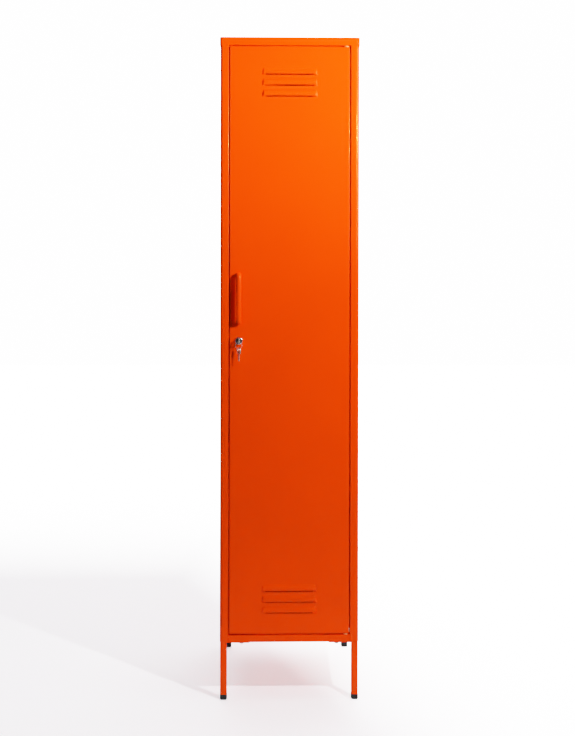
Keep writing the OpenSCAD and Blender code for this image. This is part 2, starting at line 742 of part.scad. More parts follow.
module lock_barrel() color(chrome) to_front(grip_x, front_y, lock_z) difference() {
    union() {
        cylinder(h = bezel_h - 1, r = bezel_r);
        translate([0, 0, bezel_h - 1]) cylinder(h = 1, r1 = bezel_r, r2 = bezel_r - 1.2);
        translate([0, 0, -barrel_l]) cylinder(h = barrel_l + 1, r = barrel_r);
    }
    translate([0, 0, -barrel_l - 1]) cylinder(h = barrel_l + bezel_h + 2, r = plug_r + run_fit);
}
module lock_nut() color(zinc) to_rear(grip_x, front_y + sheet_t, lock_z) hex_nut(24, 4, barrel_r);

module lock_plug() color(chrome) difference() {
    union() {
        to_front(grip_x, cam_y, lock_z) cylinder(h = cam_y - front_y + plug_face, r = plug_r);
        block(
            [grip_x - tail_w / 2, cam_y - 1, lock_z - tail_w / 2],
            [grip_x + tail_w / 2, cam_y + cam_t, lock_z + tail_w / 2]
        );
    }
    block(
        [grip_x - key_t / 2 - eps, front_y - plug_face - 1, lock_z - blade_w / 2 - 2 * eps],
        [grip_x + key_t / 2 + eps, front_y - plug_face + blade_depth, lock_z + blade_w / 2 + 2 * eps]
    );
    to_front(grip_x, cam_y + cam_t + 1, lock_z) cylinder(h = 6, r = 1.5);
}
module lock_cam() color(zinc) difference() {
    along_y(cam_y, cam_y + cam_t) polygon(rounded_box(
        grip_x - cam_w / 2, lock_z - cam_l, grip_x + cam_w / 2, lock_z + cam_w / 2, 5
    ));
    block(
        [grip_x - tail_w / 2, cam_y - 1, lock_z - tail_w / 2],
        [grip_x + tail_w / 2, cam_y + cam_t + 1, lock_z + tail_w / 2]
    );
}
module cam_screw() color(zinc) to_front(grip_x, cam_y + cam_t, lock_z) pan_screw(1.5, 5, 2.2, 4.5);

// Flat key lying along -Y from its blade tip at y 0, in the YZ plane, with its bow hole's centre on z 0
key_shoulder = -blade_l - neck_l;
key_bits = [[-blade_l + 3, blade_w / 2], [-13, 2], [-11, 3], [-9, 1.6], [-7, 2.6], [-4.5, 1.6], [-2.5, 2]];
module flat_key() {
    w = blade_w / 2;
    b = bow_w / 2;
    end = key_shoulder - bow_l;
    outline = concat(
        [[0, -1], [-3, -w], [key_shoulder, -w], [key_shoulder, -b], [end, -b], [end, b]],
        [[key_shoulder, b], [key_shoulder, w]], key_bits
    );
    radii = concat([0, 0, 0, bow_r - 2.5, bow_r, bow_r, bow_r - 2.5, 0], [for (p = key_bits) 0]);
    along_x(-key_t / 2, key_t / 2) difference() {
        polygon(rounded(outline, radii, 6));
        translate([end + bow_web + bow_hole_r, 0]) circle(r = bow_hole_r);
    }
}
module key() color(chrome) translate([grip_x, front_y - plug_face + blade_l, lock_z]) flat_key();
module key_ring() color(chrome) to_front(grip_x, front_y - bow_hole_y, lock_z - ring_drop)
    rotate_extrude() translate([ring_r, 0]) circle(r = ring_wire, $fn = 24);
module spare_key() color(chrome) translate([grip_x, front_y - bow_hole_y, spare_z])
    rotate([0, 0, spare_turn]) rotate([-90, 0, 0])
        translate([0, blade_l + neck_l + bow_l - bow_web - bow_hole_r, 0]) flat_key();

// ---- Nodes ----

top_panel();
door_header();
bottom_panel();
for (s = SIDES) {
    side_panel(s[1]);
    rail_bracket(s[1]);
    coat_hook(s[1]);
}
back_panel();
back_screws();
back_nuts();
top_nuts();
for (c = CORNERS) {
    leg(c);
    foot(c);
    upright(c);
}
leg_bolts();
leg_nuts();
shelf(upper_z);  // upper_shelf
shelf(shelf_z(lower_slot));  // lower_shelf
shelf_clips();
rail_rivets();
hanging_rail();
rail_end_caps();
door_buffers();
hinge_bush_top();
hinge_bush_bottom();
door_skin();
door_stiffener();
hinge_block_bottom();
hinge_pin_bottom();
hinge_bracket_top();
hinge_pin_top();
hinge_spring();
door_handle();
handle_screws();
lock_barrel();
lock_nut();
lock_plug();
lock_cam();
cam_screw();
key();
key_ring();
spare_key();
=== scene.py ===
import json
import math
import bmesh
import bpy
from mathutils import Matrix, Vector

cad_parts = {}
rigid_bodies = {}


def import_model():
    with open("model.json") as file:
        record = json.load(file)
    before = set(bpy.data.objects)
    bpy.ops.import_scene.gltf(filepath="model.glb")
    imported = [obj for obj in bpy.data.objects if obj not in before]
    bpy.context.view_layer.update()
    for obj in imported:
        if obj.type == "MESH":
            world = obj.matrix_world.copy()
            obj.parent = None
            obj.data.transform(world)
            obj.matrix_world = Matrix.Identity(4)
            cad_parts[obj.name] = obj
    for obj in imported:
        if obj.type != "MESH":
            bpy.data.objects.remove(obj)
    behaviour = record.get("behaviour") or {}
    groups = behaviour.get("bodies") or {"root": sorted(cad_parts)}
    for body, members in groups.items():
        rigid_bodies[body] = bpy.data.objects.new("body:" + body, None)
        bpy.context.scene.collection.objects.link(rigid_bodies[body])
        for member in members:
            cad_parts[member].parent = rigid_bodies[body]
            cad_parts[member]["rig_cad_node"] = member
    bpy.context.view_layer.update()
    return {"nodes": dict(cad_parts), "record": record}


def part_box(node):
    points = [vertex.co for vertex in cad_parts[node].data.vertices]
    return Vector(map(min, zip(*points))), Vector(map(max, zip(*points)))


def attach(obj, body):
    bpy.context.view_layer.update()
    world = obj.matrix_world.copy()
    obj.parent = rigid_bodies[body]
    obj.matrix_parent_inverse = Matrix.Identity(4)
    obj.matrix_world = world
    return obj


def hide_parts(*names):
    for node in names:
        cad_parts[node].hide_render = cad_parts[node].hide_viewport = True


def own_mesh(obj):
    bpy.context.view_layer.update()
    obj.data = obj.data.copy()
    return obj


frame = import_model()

# The looks of a sheet-steel school locker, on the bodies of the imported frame. The front faces -Y.

MM = 0.001
record = frame["record"]
nodes = frame["nodes"]
SLOT_OF = {s["node"]: s["material_slot"] for s in record["subparts"]}

# Places that come from the frame
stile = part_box("side_panel_left")
front_y, rear_y = stile[0].y, stile[1].y
lock_lo, lock_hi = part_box("lock_barrel")
lock_at = Vector(((lock_lo.x + lock_hi.x) / 2, front_y, (lock_lo.z + lock_hi.z) / 2))


# ---- Materials ----

class Nodes:
    """A material's node tree, with short calls for the nodes used here."""

    def __init__(self, name):
        self.material = bpy.data.materials.new(name)
        self.material.use_nodes = True
        self.tree = self.material.node_tree
        self.shader = self.tree.nodes["Principled BSDF"]
        coord = self.tree.nodes.new("ShaderNodeTexCoord")
        self.where = coord.outputs["Object"]

    def link(self, out, into):
        self.tree.links.new(out, into)

    def noise(self, scale, detail=3.0, rough=0.5, stretch=None):
        """Noise in the object's own place, so that it moves with the piece."""
        node = self.tree.nodes.new("ShaderNodeTexNoise")
        node.inputs["Scale"].default_value = scale
        node.inputs["Detail"].default_value = detail
        node.inputs["Roughness"].default_value = rough
        if stretch:
            mapping = self.tree.nodes.new("ShaderNodeMapping")
            mapping.inputs["Scale"].default_value = stretch
            self.link(self.where, mapping.inputs["Vector"])
            self.link(mapping.outputs["Vector"], node.inputs["Vector"])
        else:
            self.link(self.where, node.inputs["Vector"])
        return node.outputs["Fac"]

    def cells(self, scale):
        """A random colour in each cell of a Voronoi pattern."""
        node = self.tree.nodes.new("ShaderNodeTexVoronoi")
        node.inputs["Scale"].default_value = scale
        self.link(self.where, node.inputs["Vector"])
        return node.outputs["Color"]

    def range(self, value, low, high, a, b):
        """Value from low..high mapped to a..b, and held at the ends."""
        node = self.tree.nodes.new("ShaderNodeMapRange")
        for key, number in zip(("From Min", "From Max", "To Min", "To Max"), (low, high, a, b)):
            node.inputs[key].default_value = number
        self.link(value, node.inputs["Value"])
        return node.outputs["Result"]

    def ramp(self, value, stops):
        """A colour from a value, by (place, colour) stops."""
        node = self.tree.nodes.new("ShaderNodeValToRGB")
        while len(node.color_ramp.elements) < len(stops):
            node.color_ramp.elements.new(0.5)
        for element, (place, colour) in zip(node.color_ramp.elements, stops):
            element.position = place
            element.color = (*colour, 1)
        self.link(value, node.inputs["Fac"])
        return node.outputs["Color"]

    def bump(self, height, distance, strength=1.0, after=None):
        """A bumped normal, distance in metres, on top of another normal if one is given."""
        node = self.tree.nodes.new("ShaderNodeBump")
        node.inputs["Strength"].default_value = strength
        node.inputs["Distance"].default_value = distance
        self.link(height, node.inputs["Height"])
        if after is not None:
            self.link(after, node.inputs["Normal"])
        return node.outputs["Normal"]

    def set(self, **values):
        """Plain values for the shader's sockets, with _ for the spaces in their names."""
        for key, value in values.items():
            self.shader.inputs[key.replace("_", " ")].default_value = value

    def plug(self, out, key):
        """Links an output to one of the shader's sockets."""
        self.link(out, self.shader.inputs[key])


def scaled(colour, k):
    return tuple(c * k for c in colour)


def powder_coat(name, colour, rough=(0.15, 0.2), peel=1.0):
    """Baked powder coat: orange peel, a fine grain, and slow changes of tone and gloss.

    Its highlights are tinted, because the photo's are yellow and not white.
    """
    m = Nodes(name)
    tone = m.noise(5.5, 4.0, 0.55)
    m.plug(m.ramp(tone, [(0.3, scaled(colour, 0.965)), (0.7, scaled(colour, 1.02))]), "Base Color")
    gloss = m.noise(38.0, 5.0, 0.6)
    m.plug(m.range(gloss, 0.2, 0.8, *rough), "Roughness")
    wave = m.bump(m.noise(310.0, 1.5, 0.4), 0.00005 * peel, 0.8)
    m.plug(m.bump(m.noise(1500.0, 2.0, 0.5), 0.000009 * peel, 0.6, wave), "Normal")
    m.set(Specular_IOR_Level=0.25, Specular_Tint=(1.0, 0.7, 0.2, 1))
    return m.material


def plated(name, colour, rough, spangle=0.0, brush=None, bump=0.00001):
    """Plated steel: a changing gloss, with plating cells or brushing."""
    m = Nodes(name)
    m.set(Metallic=1.0)
    cells = m.cells(420.0) if spangle else m.noise(60.0, 4.0, 0.6)
    m.plug(m.ramp(cells, [(0.2, scaled(colour, 1 - spangle)), (0.8, colour)]), "Base Color")
    grain = m.noise(240.0, 4.0, 0.6, brush)
    m.plug(m.range(grain, 0.3, 0.7, *rough), "Roughness")
    m.plug(m.bump(grain, bump, 0.6), "Normal")
    return m.material


def moulded(name, colour, rough, grain=700.0, depth=0.00003, glow=0.0):
    """Moulded plastic or rubber with a fine sparked skin."""
    m = Nodes(name)
    tone = m.noise(45.0, 3.0)
    m.plug(m.ramp(tone, [(0.3, scaled(colour, 0.9)), (0.7, colour)]), "Base Color")
    m.plug(m.range(m.noise(90.0, 4.0), 0.3, 0.7, *rough), "Roughness")
    m.plug(m.bump(m.noise(grain, 3.0, 0.6), depth, 0.7), "Normal")
    if glow:
        m.set(Subsurface_Weight=glow, Subsurface_Radius=(0.004, 0.003, 0.002))
    return m.material


ORANGE = (0.93, 0.036, 0.0004)
MATERIALS = {
    "shell_paint": powder_coat("orange_powder_coat", ORANGE),
    "inner_paint": powder_coat("orange_powder_coat_inside", scaled(ORANGE, 0.95), (0.26, 0.34)),
    "handle_paint": powder_coat("orange_powder_coat_handle", ORANGE, (0.16, 0.22), 0.7),
    "washer_paint": moulded("pale_orange_nylon", (0.80, 0.17, 0.035), (0.38, 0.5), glow=0.1),
    "zinc": plated("bright_zinc", (0.66, 0.67, 0.69), (0.24, 0.4), spangle=0.12),
    "chrome": plated("polished_chrome", (0.83, 0.84, 0.86), (0.05, 0.13), bump=0.000003),
    "nickel": plated("satin_nickel", (0.74, 0.70, 0.64), (0.2, 0.34), brush=(1, 1, 9)),
    "nylon": moulded("natural_nylon", (0.83, 0.80, 0.72), (0.4, 0.55), glow=0.2),
    "black_plastic": moulded("black_plastic", (0.022, 0.022, 0.024), (0.35, 0.5)),
    "black_rubber": moulded("black_rubber", (0.009, 0.009, 0.01), (0.7, 0.85), grain=900.0),
}


# ---- Making pieces ----

def smooth_nodes():
    """Geometry nodes that shade smooth, apart from edges sharper than an angle."""
    group = bpy.data.node_groups.new("smooth_by_angle", "GeometryNodeTree")
    group.interface.new_socket("Geometry", in_out="INPUT", socket_type="NodeSocketGeometry")
    angle = group.interface.new_socket("Angle", in_out="INPUT", socket_type="NodeSocketFloat")
    angle.default_value = math.radians(38)
    group.interface.new_socket("Geometry", in_out="OUTPUT", socket_type="NodeSocketGeometry")
    new, link = group.nodes.new, group.links.new
    start, end = new("NodeGroupInput"), new("NodeGroupOutput")
    edge_angle, compare = new("GeometryNodeInputMeshEdgeAngle"), new("FunctionNodeCompare")
    faces, edges = new("GeometryNodeSetShadeSmooth"), new("GeometryNodeSetShadeSmooth")
    compare.operation = "LESS_EQUAL"
    edges.domain = "EDGE"
    link(start.outputs["Geometry"], faces.inputs["Geometry"])
    link(faces.outputs["Geometry"], edges.inputs["Geometry"])
    link(edge_angle.outputs["Unsigned Angle"], compare.inputs[0])
    link(start.outputs["Angle"], compare.inputs[1])
    link(compare.outputs["Result"], edges.inputs["Shade Smooth"])
    link(edges.outputs["Geometry"], end.inputs["Geometry"])
    return group


SMOOTH = smooth_nodes()


def soften(obj, width):
    """Rounds an object's edges by width, if there is one, and shades it smooth."""
    if obj.get("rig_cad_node"):
        obj.modifiers.new("weld", "WELD").merge_threshold = 0.000005
        flat = obj.modifiers.new("flat", "DECIMATE")
        flat.decimate_type = "DISSOLVE"
        flat.angle_limit = math.radians(0.6)
    if width:
        bevel = obj.modifiers.new("edges", "BEVEL")
        bevel.width = width
        bevel.segments = 2
        bevel.limit_method = "ANGLE"
        bevel.angle_limit = math.radians(32)
        bevel.use_clamp_overlap = True
    obj.modifiers.new("smooth", "NODES").node_group = SMOOTH
    normals = obj.modifiers.new("normals", "WEIGHTED_NORMAL")
    normals.keep_sharp = True
    normals.weight = 60


def piece(name, verts, faces, body, slot, replaced=(), outward=True):
    """A new object on a body, with its slot's material.

    outward=False is for an open sheet: its faces keep their order, and it isn't softened.
    """
    mesh = bpy.data.meshes.new(name)
    mesh.from_pydata([tuple(v) for v in verts], [], faces)
    bm = bmesh.new()
    bm.from_mesh(mesh)
    bmesh.ops.remove_doubles(bm, verts=bm.verts, dist=1e-6)
    if outward:
        bmesh.ops.recalc_face_normals(bm, faces=bm.faces)
    bm.to_mesh(mesh)
    bm.free()
    mesh.materials.append(MATERIALS[slot])
    obj = bpy.data.objects.new(name, mesh)
    bpy.context.scene.collection.objects.link(obj)
    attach(obj, body)
    if replaced:
        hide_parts(*replaced)
    if outward:
        soften(obj, 0.0)
    return obj


class Shape:
    """Vertices and faces, in which a piece's parts are gathered."""

    def __init__(self):
        self.verts, self.faces = [], []

    def add(self, verts, faces, matrix=None):
        base = len(self.verts)
        self.verts += [matrix @ Vector(v) if matrix else Vector(v) for v in verts]
        self.faces += [tuple(base + i for i in f) for f in faces]

    def rings(self, rings, matrix=None, cap_start=False, cap_end=False, closed=False):
        """Joins closed loops of points, all with the same number of points, in order."""
        n = len(rings[0])
        faces = []
        joins = len(rings) if closed else len(rings) - 1
        for i in range(joins):
            j = (i + 1) % len(rings)
            faces += [(i * n + k, i * n + (k + 1) % n, j * n + (k + 1) % n, j * n + k) for k in range(n)]
        if cap_start:
            faces.append(tuple(range(n)))
        if cap_end:
            faces.append(tuple((len(rings) - 1) * n + k for k in range(n)))
        self.add([v for ring in rings for v in ring], faces, matrix)

    def turned(self, profile, matrix, steps, closed=False):
        """Turns (radius, height) points round Z. Ends on the axis close by themselves."""
        on_axis = 1e-7
        rings = [[(x, y, h) for x, y in circle(max(r, on_axis), steps)] for r, h in profile]
        self.rings(rings, matrix, closed=closed)


def facing(point, direction):
    """Matrix that puts Z along direction at point."""
    turn = Vector(direction).to_track_quat("Z", "Y").to_matrix().to_4x4()
    return Matrix.Translation(point) @ turn


def arc(cx, cy, r, a0, a1, steps):
    """Points of an arc between two angles in degrees."""
    angles = [math.radians(a0 + (a1 - a0) * i / steps) for i in range(steps + 1)]
    return [(cx + r * math.cos(a), cy + r * math.sin(a)) for a in angles]


def rounded_rect(x0, y0, x1, y1, radii, steps):
    """Corner order is low-low, high-low, high-high, low-high."""
    a, b, c, d = radii
    return (arc(x0 + a, y0 + a, a, 180, 270, steps)
            + arc(x1 - b, y0 + b, b, 270, 360, steps)
            + arc(x1 - c, y1 - c, c, 0, 90, steps)
            + arc(x0 + d, y1 - d, d, 90, 180, steps))


def swept(points, side, section):
    """Rings of a section along points: its first coordinate goes along side, its second across it."""
    rings = []
    for i, p in enumerate(points):
        before, after = Vector(points[max(i - 1, 0)]), Vector(points[min(i + 1, len(points) - 1)])
        along = (after - before).normalized()
        other = along.cross(Vector(side)).normalized()
        across = other.cross(along).normalized()
        rings.append([Vector(p) + across * u + other * v for u, v in section])
    return rings


def circle(r, steps):
    return [(r * math.cos(a), r * math.sin(a)) for a in (2 * math.pi * k / steps for k in range(steps))]


def threads(r, h0, h1, pitch, depth):
    """Profile of a thread from h0 to h1, with its crests at r and its roots a depth below them."""
    count = int(abs(h1 - h0) / pitch)
    step = (h1 - h0) / count
    points = []
    for i in range(count):
        h = h0 + i * step
        points += [(r - depth, h), (r, h + step * 0.35), (r, h + step * 0.55), (r - depth, h + step * 0.9)]
    return points


# ---- Door panel with its louvres ----

def door_panel():
    """The front as a grid of points, pressed out at the louvres and cut open under their lips."""
    lo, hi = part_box("door_skin")
    bend, sheet, lip, land = 1.6 * MM, 0.8 * MM, 12 * MM, 4 * MM
    depth = hi.y - front_y
    length, height, out = 153 * MM, 18 * MM, front_y - lo.y
    pitch, margin, per_group, up_rows = 30 * MM, 58 * MM, 3, 14
    # A louvre's end and top slopes, how far its ends lean in, and the cut from slot below its start
    # to its lip at slot above it, which stays closed near the ends
    ramp, rise, slant, slot, closed_end = 5 * MM, 9 * MM, 1.5 * MM, 1.5 * MM, 10.5 * MM
    clear, plain_rows = 60 * MM, 150 * MM
    starts = [lo.z + margin + i * pitch for i in range(per_group)]
    starts += [hi.z - margin - height - i * pitch for i in range(per_group)]
    starts.sort()
    half = length / 2

    def swell(x, z, start):
        """How far a louvre stands out at a point: steep at its ends, rounded at its top."""
        past_end, past_top, softness, lean, lean_from = -0.25, -0.3, 0.006, 0.05, 0.55
        down = min((start + height - z) / height, 1.0)
        a = min((half - slant * (1 - max(down, 0.0)) - abs(x)) / ramp, 1.0)
        b = min((start + height - z) / rise, 1.0)
        if a < past_end or b < past_top:
            return 0.0
        s = 1 - (1 - a) ** 2 - (1 - b) ** 2
        blended = (s + math.sqrt(s * s + softness)) / 2
        flatter = 1 - lean * max(down - lean_from, 0.0) / (1 - lean_from)
        return out * min(blended, 1.0) * flatter

    flat = half - ramp - slant
    xs = [0.0, flat - land] + [flat + (ramp + slant) * k / 18 for k in range(21)]
    xs += [half + 6 * MM, (half + hi.x) / 2, hi.x - bend - land, hi.x - bend]
    xs = sorted({round(s * x, 7) for x in xs for s in (1, -1)})

    rows = [(lo.z + bend, None, None), (lo.z + bend + land, None, None)]
    for start in starts:
        rows += [(start - land, None, None), (start - slot, "low", start), (start + slot, "lip", start)]
        rows += [(start + height * k / up_rows, "up", start) for k in range(2, up_rows + 3)]
        rows.append((start + height + 5 * MM, None, None))
    plain = [starts[per_group - 1] + clear + k * plain_rows for k in range(9)]
    rows += [(z, None, None) for z in plain if z < starts[per_group] - clear / 3]
    rows += [(hi.z - bend - land, None, None), (hi.z - bend, None, None)]
    order = {None: 0, "low": 1, "lip": 2, "up": 3}
    rows.sort(key=lambda row: (round(row[0], 7), order[row[1]]))

    verts, faces = [], []
    for z, kind, start in rows:
        for x in xs:
            lift = swell(x, z, start) if kind in ("lip", "up") else 0.0
            if kind == "lip":
                lift *= min(max((half - abs(x)) / (0.1 * ramp), 0.0), 1.0)
            verts.append((x, front_y - lift, z))
    n = len(xs)
    for r in range(len(rows) - 1):
        for c in range(n - 1):
            in_slot = rows[r][1] == "low" and abs(xs[c] + xs[c + 1]) <= 2 * (half - closed_end)
            if not in_slot:
                faces.append((r * n + c, r * n + c + 1, (r + 1) * n + c + 1, (r + 1) * n + c))

    # The bends, flanges and lips of the edges follow the front's border
    last = len(rows) - 1
    border = [(c, 0) for c in range(n)] + [(n - 1, r) for r in range(1, last + 1)]
    border += [(c, last) for c in range(n - 2, -1, -1)] + [(0, r) for r in range(last - 1, 0, -1)]
    corner = [math.radians(a) for a in (18, 36, 54, 72, 90)]
    steps = [(bend * math.sin(a), bend * (1 - math.cos(a))) for a in corner]
    steps += [(bend * math.cos(a), depth - bend * (1 - math.sin(a))) for a in [0] + corner]
    steps.append((bend - lip, depth))
    previous = [r * n + c for c, r in border]
    for out_by, back in steps:
        ring = []
        for c, r in border:
            dx = (c == n - 1) - (c == 0)
            dz = (r == last) - (r == 0)
            base = verts[r * n + c]
            verts.append((base[0] + dx * out_by, front_y + back, base[2] + dz * out_by))
            ring.append(len(verts) - 1)
        faces += [(previous[k], ring[k], ring[(k + 1) % len(ring)], previous[(k + 1) % len(ring)])
                  for k in range(len(ring))]
        previous = ring
    obj = piece("door_panel", verts, faces, "door", "shell_paint", ["door_skin"], outward=False)
    shell = obj.modifiers.new("sheet", "SOLIDIFY")
    shell.thickness = sheet
    shell.offset = -1
    shell.use_even_offset = True
    obj.modifiers.new("smooth", "NODES").node_group = SMOOTH
    normals = obj.modifiers.new("normals", "WEIGHTED_NORMAL")
    normals.keep_sharp = True


# ---- Top panel ----

def top_panel():
    """The folded top with its rounded edges, and the weld studs for its nuts."""
    lo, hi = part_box("top_panel")
    sheet, edge_r, hem = 1 * MM, 1 * MM, 0.25 * MM

    def outline(inset, z):
        front_r, rear_r = 7.6 * MM - inset, max(2.5 * MM - inset, 0.2 * MM)
        ring = rounded_rect(lo.x + inset, lo.y + inset, hi.x - inset, hi.y - inset,
                            (front_r, front_r, rear_r, rear_r), 8)
        return [(x, y, z) for x, y in ring]

    outer = [outline(sheet, lo.z), outline(hem, lo.z), outline(0, lo.z + hem)]
    for k in range(7):
        a = math.radians(15 * k)
        outer.append(outline(edge_r * (1 - math.cos(a)), hi.z - edge_r * (1 - math.sin(a))))
    inner = [outline(sheet, lo.z), outline(sheet, hi.z - sheet)]
    shape = Shape()
    shape.rings(outer, cap_end=True)
    shape.rings(inner, cap_end=True)
    piece("top_panel_shell", shape.verts, shape.faces, "cabinet", "shell_paint", ["top_panel"])

    studs = Shape()
    nuts_lo, nuts_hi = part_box("top_nuts")
    across = 4 * MM
    to_point = across / math.cos(math.radians(30))
    profile = [(3.6 * MM, 0.0), (2.9 * MM, -0.6 * MM)]
    profile += threads(2.5 * MM, -0.8 * MM, -9.2 * MM, 0.8 * MM, 0.3 * MM)
    profile += [(2.0 * MM, -10 * MM), (0, -10 * MM)]
    for x in (nuts_lo.x + to_point, nuts_hi.x - to_point):
        for y in (nuts_lo.y + across, (nuts_lo.y + nuts_hi.y) / 2, nuts_hi.y - across):
            studs.turned(profile, Matrix.Translation((x, y, hi.z - sheet)), 24)
    piece("top_studs", studs.verts, studs.faces, "cabinet", "zinc")


# ---- Handle ----

def door_handle():
    """A bow of flat-backed bar with a rounded front."""
    lo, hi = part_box("door_handle")
    thick, bend, edge, foot = 8 * MM, 15 * MM, 1 * MM, 3 * MM
    x = (lo.x + hi.x) / 2
    wide = (hi.x - lo.x) / 2
    bar_y = lo.y
    centre = bend - thick / 2
    top, bottom = hi.z - thick / 2, lo.z + thick / 2
    path = [(front_y, top), (front_y - foot, top)]
    path += arc(bar_y + bend, hi.z - bend, centre, 90, 180, 10)
    path += [(bar_y + thick / 2, hi.z - bend - (hi.z - lo.z - 2 * bend) * k / 8) for k in range(1, 8)]
    path += arc(bar_y + bend, lo.z + bend, centre, 180, 270, 10)
    path += [(front_y - foot, bottom), (front_y, bottom)]
    back = edge - thick / 2
    section = [(wide * math.cos(a), back + (thick - edge) * math.sin(a) ** 0.9)
               for a in (math.pi * k / 24 for k in range(25))]
    corner = [(edge * (1 - math.cos(a)), edge * math.sin(a)) for a in (math.pi / 6 * k for k in (1, 2, 3))]
    section += [(inset - wide, back - drop) for inset, drop in corner]
    section += [(wide - inset, back - drop) for inset, drop in reversed(corner)]
    shape = Shape()
    shape.rings(swept([(x, y, z) for y, z in path], (1, 0, 0), section), cap_start=True, cap_end=True)
    piece("door_handle_bow", shape.verts, shape.faces, "door", "handle_paint", ["door_handle"])


# ---- Lock ----

def lock():
    """The barrel with its bezel, and the dark ring in the gap round the plug. Profiles are in mm."""
    to_front = facing(lock_at, (0, -1, 0))
    bezel = [(11.0, 0.0), (11.5, 0.25), (11.5, 1.4), (11.35, 2.1), (11.0, 2.9), (10.5, 3.65),
             (9.95, 4.3), (9.4, 4.75), (9.0, 4.95), (8.7, 4.95), (8.5, 4.7), (8.5, 3.0)]
    face = [(8.5, 3.2), (8.1, 3.0), (6.9, 3.0), (6.6, 2.6), (6.58, -2)]
    barrel = [(11.0, 0.0), (9.5, 0.0), (9.5, -1.0)]
    barrel += threads(9.5, -5.2, -20.6, 1.1, 0.45)
    barrel += [(9.0, -21.2), (6.7, -21.2), (6.55, -20.8), (6.55, -1.0)]
    dust = [(8.5, 2.9), (8.5, 3.45), (8.3, 3.7), (7.0, 3.7), (6.62, 3.4), (6.62, 2.9)]
    shape, ring = Shape(), Shape()
    for profile in (bezel, face, barrel):
        shape.turned([(r * MM, h * MM) for r, h in profile], to_front, 72)
    ring.turned([(r * MM, h * MM) for r, h in dust], to_front, 72, closed=True)
    piece("lock_bezel", shape.verts, shape.faces, "door", "chrome", ["lock_barrel"])
    piece("lock_dust_ring", ring.verts, ring.faces, "door", "black_plastic")


# ---- Key ring and spring ----

def key_ring():
    """A split ring: about two turns of wire that step from one side to the other half way."""
    lo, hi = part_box("key_ring")
    centre = (lo + hi) / 2
    wire = (hi.y - lo.y) / 4
    r = (hi.x - lo.x) / 2 - 2 * wire
    points, turns, steps, start = [], 2.08, 150, math.radians(60)
    for i in range(steps + 1):
        t = i / steps
        a = 2 * math.pi * turns * t - start
        blend = min(max((t - 0.44) / 0.12, 0.0), 1.0)
        shift = wire * 0.98 * (2 * (blend * blend * (3 - 2 * blend)) - 1)
        points.append(centre + Vector((r * math.cos(a), shift, r * math.sin(a))))
    shape = Shape()
    shape.rings(swept(points, (0, 1, 0), circle(wire * 0.97, 12)), cap_start=True, cap_end=True)
    piece("split_ring", shape.verts, shape.faces, "key_ring", "nickel", ["key_ring"])


def hinge_spring():
    """A compression spring with closed end coils, on a mesh of its own. The top pin presses it as it slides
    down.
    """
    lo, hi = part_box("hinge_spring")
    centre = (lo + hi) / 2
    wire = 0.58 * MM
    r = (hi.x - lo.x) / 2 - wire
    coils, closed_coils, steps = 8.5, 0.9, 300
    points = []
    for i in range(steps + 1):
        turn = coils * i / steps
        rise = min(max((turn - closed_coils) / (coils - 2 * closed_coils), 0.0), 1.0)
        z = lo.z + wire + rise * (hi.z - lo.z - 2 * wire)
        a = 2 * math.pi * turn
        points.append(Vector((centre.x + r * math.cos(a), centre.y + r * math.sin(a), z)))
    shape = Shape()
    shape.rings(swept(points, (0, 0, 1), circle(wire, 10)), cap_start=True, cap_end=True)
    obj = piece("coil_spring", shape.verts, shape.faces, "door", "zinc", ["hinge_spring"])
    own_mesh(obj)


# ---- Screws with cross recesses ----

def cross_head(shape, spot, head_r, head_h, shank_r, shank_l):
    """Pan head above z 0 with a cross recess, and its threaded shank below."""
    steps, arm, reach, flat_r = 32, 0.16 * head_r, 0.56 * head_r, 0.66 * head_r
    crown = [(head_r * 0.97, 0.0), (head_r, 0.15 * head_h), (head_r * 0.97, 0.45 * head_h),
             (head_r * 0.86, 0.78 * head_h), (flat_r, head_h)]
    shape.turned(crown, spot, steps)
    cross = [(reach, arm), (arm, arm), (arm, reach), (-arm, reach), (-arm, arm), (-reach, arm),
             (-reach, -arm), (-arm, -arm), (-arm, -reach), (arm, -reach), (arm, -arm), (reach, -arm)]
    tips = len(cross)
    verts = [(x, y, head_h) for x, y in circle(flat_r, steps)]
    verts += [(x, y, head_h) for x, y in cross]
    verts += [(x * 0.8, y * 0.8, head_h * 0.3) for x, y in cross]
    angle_of = [math.atan2(y, x) % (2 * math.pi) for x, y in cross]

    def nearest(k):
        """The recess's corner that is nearest in angle to point k of the flat's rim."""
        a = 2 * math.pi * k / steps
        gaps = [min(abs(a - b), 2 * math.pi - abs(a - b)) for b in angle_of]
        return gaps.index(min(gaps))

    faces = []
    for k in range(steps):
        after = (k + 1) % steps
        i, last = nearest(k), nearest(after)
        faces.append((k, after, steps + last))
        while i != last:
            following = (i + 1) % tips
            faces.append((k, steps + following, steps + i))
            i = following
    for i in range(tips):
        j = (i + 1) % tips
        faces.append((steps + i, steps + j, steps + tips + j, steps + tips + i))
    faces.append(tuple(steps + tips + i for i in range(tips)))
    shape.add(verts, faces, spot)
    shank = [(head_r * 0.97, 0.0), (shank_r, 0.0)]
    shank += threads(shank_r, -0.2 * MM, -shank_l + 0.4 * MM, 0.8 * MM, 0.28 * MM)
    shank += [(shank_r * 0.8, -shank_l), (0, -shank_l)]
    shape.turned(shank, spot, 24)


